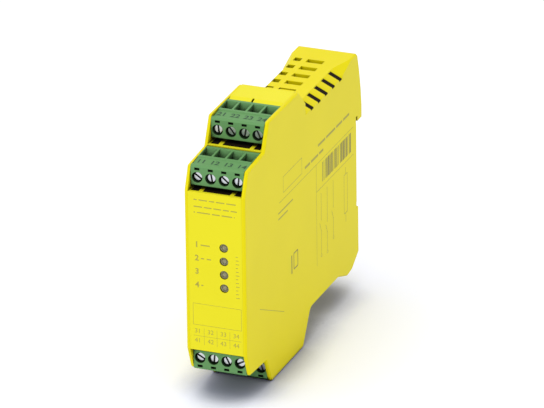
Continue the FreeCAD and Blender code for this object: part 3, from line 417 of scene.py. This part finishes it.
# ---------------------------------------------------------------- finishes of the solids
class RELAY_OT_finishes(bpy.types.Operator):
    """Give every solid of the module its finish"""
    bl_idname = "relay.finishes"
    bl_label = "Finishes"

    def execute(self, context):
        look = context.scene.relay_plastics
        made = {
            # Polycarbonate blend, moulded in a finely eroded mould: satin and strongly coloured.
            "housing_yellow": moulded_plastic("polycarbonate_blend_yellow", look.housing, 0.44, look.grain,
                                              look.edge),
            "cover_yellow": moulded_plastic("polycarbonate_blend_front", look.cover, 0.42, look.grain,
                                            look.edge),
            # Polyamide 6.6: a little waxier than the housing, with a finer grain and sharper edges, and
            # painted shade reaching further into its wells.
            "plug_green": moulded_plastic("polyamide_green", look.plug, 0.46, look.grain * 0.8,
                                          look.edge * 0.7, shade_reach=5.0 * MM),
            "header_green": moulded_plastic("polyamide_header_green", look.header, 0.5, look.grain * 0.8,
                                            look.edge * 0.7),
            # Zinc-plated steel: bright and a little cool on turned screws, greyer on stamped clamps.
            "zinc_steel": plated_metal("zinc_plated_steel", linear("D5D8D6"), 0.30, 0.12 * MM),
            "clamp_steel": plated_metal("zinc_plated_clamp", linear("B9BDBC"), 0.38, 0.2 * MM),
            # Hot-tinned brass: a soft, faintly warm white.
            "tinned_brass": plated_metal("tinned_brass", linear("C9C6BC"), 0.36, 0.15 * MM),
            # Blued spring steel: darker, with fine drawn lines.
            "spring_steel": plated_metal("blued_spring_steel", linear("9B9CA0"), 0.34, 0.1 * MM),
            # Solder resist over woven glass: glossy green.
            "board_laminate": moulded_plastic("solder_resist_green", linear("1C5A2B"), 0.25, 0.5 * MM,
                                              0.1 * MM),
            # Filled polyester: satin ivory cases.
            "relay_case": moulded_plastic("pbt_ivory", linear("E3DFD0"), 0.4, 0.4 * MM, 0.2 * MM),
            # Shrunk polyester sleeves: dark blue and smoother than the cases.
            "capacitor_can": moulded_plastic("capacitor_sleeve", linear("2B3040"), 0.3, 0.6 * MM, 0.2 * MM),
            # Pressed and sintered ferrite: dark grey, dull and coarse.
            "ferrite": moulded_plastic("sintered_ferrite", linear("353538"), 0.6, 0.15 * MM, 0.15 * MM,
                                       depth=0.03 * MM),
            # Moulded resin, a dipped fuse and polyamide holders: near black, red-brown and black, all dull.
            "chip_resin": moulded_plastic("moulded_resin_black", linear("232324"), 0.55, 0.15 * MM, 0.1 * MM),
            "fuse_body": moulded_plastic("fuse_body_brown", linear("7A2A1B"), 0.4, 0.4 * MM, 0.2 * MM),
            "holder_black": moulded_plastic("polyamide_black", linear("1E1E1E"), 0.5, 0.3 * MM, 0.15 * MM),
            # Cast resin clouded by a white powder: pale, even and a little glossy.
            "lamp_lens": moulded_plastic("diffuse_resin", look.lens, 0.3, 0.5 * MM, 0.3 * MM),
        }
        for part in frame["record"]["subparts"]:
            node = frame["nodes"][part["node"]]
            node.data.materials.clear()
            node.data.materials.append(made[part["material_slot"]])
        return {"FINISHED"}


# Turn of each driver slot from level, in degrees, pole by pole.
SLOT_TURNS = {"upper_front": (35, 80, 40, 96), "upper_rear": (84, 52, 100, 66),
              "lower_front": (150, 62, 95, 28), "lower_rear": (75, 40, 118, 90)}


class RELAY_OT_clamp_screws(bpy.types.Operator):
    """Turn the clamp screws: a rounded head with a driver slot on a plain shank"""
    bl_idname = "relay.clamp_screws"
    bl_label = "Clamp screws"

    def execute(self, context):
        look = context.scene.relay_screws
        # Turned, zinc-plated and blue passivated steel: bright heads with faint turning lines.
        steel = plated_metal("zinc_plated_screw", linear("D5D8D6"), 0.30, 0.12 * MM)
        for label in ROWS:
            for number, turn in enumerate(SLOT_TURNS[label], 1):
                node = "screw_%s_%d" % (label, number)
                low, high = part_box(node)
                centre = Vector(((low.x + high.x) / 2, low.y, (low.z + high.z) / 2))
                face, floor = look.sunk, look.sunk + look.depth
                # Below the slot's floor: the lower head, a short cone and the shank.
                shape = turned_solid(((0, floor), (look.head, floor), (look.head, floor + look.edge * 2),
                                      (look.shank, floor + look.edge * 3), (look.shank, high.y - low.y),
                                      (0, high.y - low.y)), centre)
                # Above it: two halves of the rounded head, cut apart by the slot's width.
                rim = ((0, face), (look.head - look.edge, face),
                       (look.head - look.edge * 0.3, face + look.edge * 0.3),
                       (look.head, face + look.edge), (look.head, floor), (0, floor))
                across = math.radians(turn)
                apart = Vector((math.sin(across), 0, math.cos(across)))
                for side in (1, -1):
                    half = turned_solid(rim, centre)
                    bmesh.ops.bisect_plane(half, geom=half.verts[:] + half.edges[:] + half.faces[:],
                                           plane_co=centre + apart * side * look.slot / 2,
                                           plane_no=apart * side, clear_inner=True)
                    bmesh.ops.holes_fill(half, edges=[edge for edge in half.edges if edge.is_boundary],
                                         sides=0)
                    bmesh.ops.recalc_face_normals(half, faces=half.faces[:])
                    gather(shape, half)
                screw = finished("slotted_" + node, from_bmesh("slotted_" + node, shape), steel, node)
                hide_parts(node)
        return {"FINISHED"}


class RELAY_OT_lamp_lenses(bpy.types.Operator):
    """Turn the four lamp lenses, each a low dome in a collar darkened with painted shade"""
    bl_idname = "relay.lamp_lenses"
    bl_label = "Lamp lenses"

    def execute(self, context):
        look = context.scene.relay_plastics
        across, radius, levels = lamp_places()
        # Radius and depth behind the panel's face, from the dome's tip over the collar to the back.
        outline = ((0.0, 0.28), (0.4, 0.3), (0.75, 0.42), (0.98, 0.62), (1.06, 0.95), (1.14, 0.95),
                   (1.2, 0.5), (1.42, 0.45), (1.5, 0.55), (1.5, 5.2), (0.0, 5.2))
        # The outline's own radius is 1.5, and its dome ends at 1.07.
        scale = radius / 1.5
        dome = 1.07 * scale
        lenses = bmesh.new()
        for level in levels:
            centre = Vector((across, PANEL, level))
            lens = turned_solid([(out * scale, deep * MM) for out, deep in outline], centre)
            for face in lens.faces:
                face.smooth = True
                middle = face.calc_center_median() - centre
                face.material_index = 0 if math.hypot(middle.x, middle.z) < dome else 1
            gather(lenses, lens)
        milky = diffuse_lens("diffuse_lens_resin", look.lens)
        piece = finished("lamp_lenses", from_bmesh("lamp_lenses", lenses), milky, "housing")
        # Moulded polyamide holders with a slight gloss; their dark colour is painted shade of the well round
        # each lens.
        piece.data.materials.append(moulded_plastic("lens_collar_painted_shade", look.collar, 0.35, look.grain, look.edge))
        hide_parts("lamps")
        return {"FINISHED"}


class RELAY_OT_rim_openings(bpy.types.Operator):
    """Lay dark blocks of painted shade in the openings that run under the plugs behind each rim, left and
    right of the two tabs
    """
    bl_idname = "relay.rim_openings"
    bl_label = "Rim openings"

    def execute(self, context):
        look = context.scene.relay_plastics
        # Painted shade: nearly black, dull blocks stand in the openings, where no light reaches the housing
        # plastic.
        dark = moulded_plastic("painted_shade_wall", look.inside, 0.7, look.grain, look.edge * 0.3)
        # Left of, between and right of the two tabs.
        spans = ((-9.2, -6.35), (-4.85, 5.25), (6.75, 9.2))
        # From the plug to the shelf, from the opening's front to the plug's face, and its depth and height.
        shelf_gap, ahead, deep, tall = 1.0 * MM, 1.55 * MM, 7.0 * MM, 1.2 * MM
        openings = bmesh.new()
        for label in ROWS:
            low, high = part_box("plug_" + label)
            side = 1 if label.startswith("upper") else -1
            shelf = (low.z if side > 0 else high.z) - side * shelf_gap
            for left, right in spans:
                block = bmesh.new()
                bmesh.ops.create_cube(block, size=1)
                middle = Vector(((left + right) / 2 * MM, low.y - ahead + deep / 2,
                                 shelf - side * (tall / 2 - PRINT_LIFT)))
                stretch = Matrix.Diagonal(((right - left) * MM, deep, tall, 1))
                bmesh.ops.transform(block, matrix=Matrix.Translation(middle) @ stretch, verts=block.verts[:])
                bmesh.ops.bevel(block, geom=block.edges[:], offset=0.08 * MM, affect="EDGES", segments=2,
                                profile=0.5, material=-1)
                gather(openings, block)
        finished("rim_openings", from_bmesh("rim_openings", openings), dark, "housing")
        return {"FINISHED"}


class RELAY_OT_bevel_openings(bpy.types.Operator):
    """Set sheets of painted shade inside the slanted vents just below both bevels"""
    bl_idname = "relay.bevel_openings"
    bl_label = "Bevel openings"

    def execute(self, context):
        look = context.scene.relay_plastics
        # The same painted shade behind the slanted vents, where the plastic is unlit.
        dark = moulded_plastic("painted_shade_wall_rear", look.inside, 0.7, look.grain, look.edge * 0.3)
        # The bevel's width and fall, and how far back each slot leans over that width.
        bevel_in, bevel_down, slant = 3.15 * MM, 3.7 * MM, 3.5 * MM
        # From the panel to the first slot, and the slots' pitch and width.
        first, pitch, wide = 60.4 * MM, 7.0 * MM, 2.9 * MM
        # The painted shade lies this far under the bevel, is this thick, and stops short of the slot's walls.
        sunk, thick, short = 0.3 * MM, 1.0 * MM, 0.03 * MM
        start = SIDE - bevel_in
        openings = bmesh.new()
        for side in (1, -1):
            for number in range(5):
                front = PANEL + first + pitch * number
                block = bmesh.new()
                corners = []
                for out in (0.1 * MM, bevel_in - 0.12 * MM):
                    lean = slant * out / bevel_in
                    level = TOP_HALF - bevel_down * out / bevel_in - sunk
                    corners += [(out, front + lean + near, level) for near in (short, wide - short)]
                # The far pair turns round, so that the four run round the slot.
                corners[2], corners[3] = corners[3], corners[2]
                face = block.faces.new([block.verts.new((side * (start + out), along, level))
                                        for out, along, level in corners])
                walls = bmesh.ops.extrude_face_region(block, geom=[face])["geom"]
                lowered = [item for item in walls if isinstance(item, bmesh.types.BMVert)]
                bmesh.ops.translate(block, verts=lowered, vec=(0, 0, -thick))
                bmesh.ops.recalc_face_normals(block, faces=block.faces[:])
                gather(openings, block)
        finished("bevel_openings", from_bmesh("bevel_openings", openings), dark, "housing")
        return {"FINISHED"}


# ---------------------------------------------------------------- prints
class RELAY_OT_front_print(bpy.types.Operator):
    """Print the front panel: thin rules, figures beside the lamps, the marking field and terminal numbers"""
    bl_idname = "relay.front_print"
    bl_label = "Front print"

    def execute(self, context):
        look = context.scene.relay_print
        ink = pad_ink("panel_ink", look.panel_ink)
        sheet = Print(FACING_FRONT, (0, PANEL - PRINT_LIFT, 0))
        thin = look.rule / MM
        # Faint rows at the top, as short dashes of uneven length.
        for level, dashes in ((27.2, (-7.8, -5.9, -2.1, 0.6, 4.4, 8.6)),
                              (24.6, (-7.8, -4.0, -0.4, 3.1, 6.0, 9.0)),
                              (22.4, (-7.8, -6.6, -1.0, 2.6, 7.2, 8.2))):
            for start, end in zip(dashes[:-1], dashes[1:]):
                sheet.rule((start, level), (end - 0.7, level), thin * 2.2)
        # A number at the height of each lamp, and plain dashes beside three of them.
        levels = [level / MM for level in lamp_places()[2]]
        for number, level in enumerate(levels, 1):
            sheet.figures(str(number), look.lamp_figure / MM, -6.9, level, weight=0.08)
        for number, start, end in ((0, -5.4, -2.0), (1, -5.4, -4.2), (1, -3.2, -1.6), (3, -5.4, -4.6)):
            sheet.rule((start, levels[number]), (end, levels[number]), thin * 2.4)
        # A column of short ticks, the marking field and the table of the lower terminals.
        for number in range(12):
            level = 7.6 - 1.42 * number
            sheet.rule((7.6, level), (8.4 + 0.25 * (number % 3), level), thin * 1.4)
        sheet.frame(-8.6, 9.4, -20.3, -12.2, thin * 0.7)
        for row, level in enumerate((-22.7, -26.3), 3):
            for column, across in enumerate((-7.0, -2.2, 2.6, 7.4), 1):
                sheet.figures("%d%d" % (row, column), look.panel_figure / MM, across, level)
        for across in (-4.6, 0.2, 5.0):
            sheet.rule((across, -21.4), (across, -27.8), thin * 0.6)
        sheet.rule((-8.6, -24.5), (9.4, -24.5), thin * 0.6)
        sheet.finish("front_print", ink, "housing")
        return {"FINISHED"}


class RELAY_OT_plug_numbers(bpy.types.Operator):
    """Print the pole numbers on the marking band of every plug"""
    bl_idname = "relay.plug_numbers"
    bl_label = "Plug numbers"

    def execute(self, context):
        look = context.scene.relay_print
        ink = pad_ink("pole_ink", look.plug_ink)
        # The marking band: its start and end behind the plug's face, its height, and how far it rises.
        start, end, ridge, rise = 1.9 * MM, 6.7 * MM, 7.8 * MM, 0.4 * MM
        tilt = math.atan2(rise, end - start)
        for row, label in enumerate(ROWS, 1):
            low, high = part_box("plug_" + label)
            upper = label.startswith("upper")
            side, inner, facing = (1, low.z, FACING_UP) if upper else (-1, high.z, FACING_DOWN)
            turn = Matrix.Rotation(tilt * side, 3, "X")
            level = inner + side * (ridge - rise / 2 + PRINT_LIFT)
            sheet = Print(turn @ facing, (0, low.y + (start + end) / 2, level))
            for pole in range(POLES):
                across = (pole - (POLES - 1) / 2) * POLE_PITCH / MM
                sheet.figures("%d%d" % (row, pole + 1), look.plug_figure / MM, across, 0, weight=0.1)
            sheet.finish("numbers_" + label, ink, "plug_" + label)
        return {"FINISHED"}


class RELAY_OT_side_print(bpy.types.Operator):
    """Print the right side wall: a plain label frame with a bar field and a contact diagram"""
    bl_idname = "relay.side_print"
    bl_label = "Side print"

    def execute(self, context):
        look = context.scene.relay_print
        ink = pad_ink("side_ink", look.side_ink)
        sheet = Print(FACING_RIGHT, (SIDE + PRINT_LIFT, 0, 0))
        bold = Print(FACING_RIGHT, (SIDE + PRINT_LIFT, 0, 0))
        thin = look.rule / MM
        # Label frame: its rules, a small frame and two rows of dashes above.
        sheet.rule((-76, 15.2), (-3, 15.2), thin)
        sheet.rule((-40, 15.2), (-40, -24), thin)
        sheet.rule((-40, 4.6), (-3, 4.6), thin)
        sheet.frame(-72, -54, 17.6, 23.6, thin)
        for start, end, level in ((-38, -31, 21.8), (-30, -21, 21.8), (-20, -14, 21.8), (-13, -7, 21.8),
                                  (-51, -46, 18.4), (-45, -38, 18.4), (-37, -33, 18.4)):
            sheet.rule((start, level), (end, level), 0.9)
        # Bars and gaps take turns in made-up widths, which say nothing.
        bars = (0.5, 0.9, 0.4, 1.3, 0.6, 0.4, 1.0, 0.5, 1.4, 0.4,
                0.8, 0.6, 1.1, 0.4, 0.5, 1.2, 0.7, 0.4, 0.9, 0.5)
        across, last = -34.0, -5.0
        for number, wide in enumerate(bars * 2):
            if across + wide > last:
                break
            if number % 2 == 0:
                bold.field(across, across + wide, 6.4, 13.9)
            across += wide
        # Contact diagram: upright lines, each broken by a slanted contact and ended by a ring.
        line = thin * 1.3
        top, contact, terminal = 2.6, 4, 0.45
        for across, gap, low in ((-35.5, -8, -21), (-29.5, -11, -22), (-23.5, -8, -19)):
            sheet.rule((across, top), (across, gap), line)
            sheet.rule((across, gap - contact), (across, low), line)
            sheet.rule((across - 1.6, gap - 0.6), (across, gap - contact), line)
            sheet.ring(across, low - 0.6, terminal, thin)
        # The last one is a slim frame with a short lead at either end.
        sheet.frame(-12.6, -9.4, -15, 0, line)
        sheet.rule((-11, top), (-11, 0), line)
        sheet.rule((-11, -15), (-11, -18.5), line)
        # Two plain dashes further back.
        for start, end, level in ((-77, -63, 11.4), (-77, -68, 9.2)):
            sheet.rule((start, level), (end, level), 0.5)
        # A slanted mould line, and a plain mark low on the wall: a bar beside a small frame.
        sheet.rule((-95.6, -17.2), (-72.4, -27.9), thin * 1.1)
        bold.rule((-64.6, -9.6), (-64.6, -16.6), 0.8)
        bold.frame(-62.6, -58.8, -15.6, -9.6, 0.5)
        bold.finish("side_bars", pad_ink("bar_ink", look.bar_ink), "housing")
        sheet.finish("side_print", ink, "housing")
        return {"FINISHED"}


# ---------------------------------------------------------------- stage
class RELAY_OT_studio(bpy.types.Operator):
    """Lay the pale floor, hang the soft lights and set the camera"""
    bl_idname = "relay.studio"
    bl_label = "Studio"

    def execute(self, context):
        look = context.scene.relay_studio
        scene = context.scene
        low, high = CAD_BOX
        centre = (low + high) / 2
        self.lay_floor(scene, look, low)
        self.light_world(scene)
        # A broad light overhead, a little left and ahead, and a weak one low in front: metres and watts.
        self.hang(scene, "overhead", (-0.2, -0.45, 1.4), 1.6, 8.6, centre)
        self.hang(scene, "front_fill", (0.35, -1.6, 0.45), 1.0, 2.3, centre)
        scene.view_settings.view_transform = "Standard"
        camera = bpy.data.objects.new("camera", bpy.data.cameras.new("camera"))
        scene.collection.objects.link(camera)
        scene.camera = camera
        camera.data.sensor_width = 36
        camera.data.lens = look.lens
        camera.data.clip_start = 0.1
        camera.data.clip_end = 20
        # The way from the module back to the camera.
        azimuth, elevation = look.azimuth, look.elevation
        back = Vector((math.sin(azimuth) * math.cos(elevation), -math.cos(azimuth) * math.cos(elevation),
                       math.sin(elevation)))
        aim = centre + Vector((0, 0, look.drop))
        camera.rotation_mode = "QUATERNION"
        turned = (-back).to_track_quat("-Z", "Y").to_matrix() @ Matrix.Rotation(look.roll, 3, "Z")
        camera.rotation_quaternion = turned.to_quaternion()
        aim -= turned.col[0] * look.aside
        camera.location = aim + back * look.distance
        return {"FINISHED"}

    def lay_floor(self, scene, look, low):
        """A large pale floor, 8 m across, at the object's lowest point."""
        shape = bmesh.new()
        bmesh.ops.create_grid(shape, x_segments=1, y_segments=1, size=4)
        bmesh.ops.translate(shape, verts=shape.verts[:], vec=(0, 0, low.z))
        floor = bpy.data.objects.new("floor", from_bmesh("floor", shape))
        scene.collection.objects.link(floor)
        # Matt painted board: pale, with a glow that only the camera and gloss see, so that it reads as white.
        material, tree = new_material("pale_floor")
        lift = add_node(tree, "ShaderNodeMath", {0: seen_directly(tree), 1: 0.17}, operation="MULTIPLY")
        # The contact shadow close round the foot is deeper and cooler than the open floor.
        near_by = add_node(tree, "ShaderNodeAmbientOcclusion", {"Distance": look.contact}, samples=16)
        fade = add_node(tree, "ShaderNodeMapRange", {"Value": near_by.outputs["AO"], "From Min": 0.42,
                                                     "From Max": 0.9}, interpolation_type="SMOOTHSTEP")
        tone = add_node(tree, "ShaderNodeMix", {"Factor": fade.outputs["Result"], "A": (*linear("A2A4B6"), 1),
                                                "B": (*look.floor, 1)}, data_type="RGBA")
        matt = add_node(tree, "ShaderNodeBsdfDiffuse", {"Color": tone.outputs["Result"]})
        faded = add_node(tree, "ShaderNodeMath", {0: lift.outputs[0], 1: fade.outputs["Result"]},
                         operation="MULTIPLY")
        glow = add_node(tree, "ShaderNodeEmission", {"Color": (1, 1, 1, 1), "Strength": faded.outputs[0]})
        both = add_node(tree, "ShaderNodeAddShader", {0: matt.outputs[0], 1: glow.outputs[0]})
        add_node(tree, "ShaderNodeOutputMaterial", {"Surface": both.outputs[0]})
        floor.data.materials.append(material)

    def light_world(self, scene):
        """Even light from all round, and plain white where the camera looks past the floor."""
        world = bpy.data.worlds.new("studio")
        world.use_nodes = True
        world.node_tree.nodes.clear()
        tree = world.node_tree
        soft = add_node(tree, "ShaderNodeBackground", {"Color": (0.96, 0.965, 1.0, 1), "Strength": 0.82})
        white = add_node(tree, "ShaderNodeBackground", {"Color": (1, 1, 1, 1), "Strength": 1.0})
        mixed = add_node(tree, "ShaderNodeMixShader", {0: seen_directly(tree), 1: soft.outputs[0],
                                                       2: white.outputs[0]})
        add_node(tree, "ShaderNodeOutputWorld", {"Surface": mixed.outputs[0]})
        scene.world = world

    def hang(self, scene, name, place, size, power, centre):
        """A square soft light that points at the module."""
        lamp = bpy.data.lights.new(name, "AREA")
        lamp.shape = "SQUARE"
        lamp.size = size
        lamp.energy = power
        lamp.color = (1.0, 0.985, 0.96)
        hung = bpy.data.objects.new(name, lamp)
        scene.collection.objects.link(hung)
        hung.location = centre + Vector(place)
        hung.rotation_mode = "QUATERNION"
        hung.rotation_quaternion = Vector(place).to_track_quat("Z", "Y")


class RELAY_PT_looks(bpy.types.Panel):
    """Lists the pieces of the module's looks"""
    bl_idname = "RELAY_PT_looks"
    bl_label = "Safety relay"
    bl_space_type = "VIEW_3D"
    bl_region_type = "UI"
    bl_category = "Relay"

    def draw(self, context):
        for operator in OPERATORS:
            self.layout.operator(operator.bl_idname)
        for group in SETTINGS:
            settings = getattr(context.scene, group)
            box = self.layout.box()
            for name in settings.bl_rna.properties.keys():
                if name not in ("rna_type", "name"):
                    box.prop(settings, name)


SETTINGS = {"relay_plastics": RelayPlastics, "relay_print": RelayPrint, "relay_screws": RelayScrews,
            "relay_studio": RelayStudio}
OPERATORS = (RELAY_OT_finishes, RELAY_OT_clamp_screws, RELAY_OT_lamp_lenses, RELAY_OT_rim_openings,
             RELAY_OT_bevel_openings, RELAY_OT_front_print, RELAY_OT_plug_numbers, RELAY_OT_side_print,
             RELAY_OT_studio)
CLASSES = (*SETTINGS.values(), *OPERATORS, RELAY_PT_looks)


def register():
    for item in CLASSES:
        bpy.utils.register_class(item)
    for name, group in SETTINGS.items():
        setattr(bpy.types.Scene, name, bpy.props.PointerProperty(type=group))


def unregister():
    for name in SETTINGS:
        delattr(bpy.types.Scene, name)
    for item in reversed(CLASSES):
        bpy.utils.unregister_class(item)


def main():
    """Make every piece in order."""
    register()
    for operator in OPERATORS:
        group, name = operator.bl_idname.split(".")
        getattr(getattr(bpy.ops, group), name)()
    bpy.context.view_layer.update()


if __name__ == "__main__":
    main()
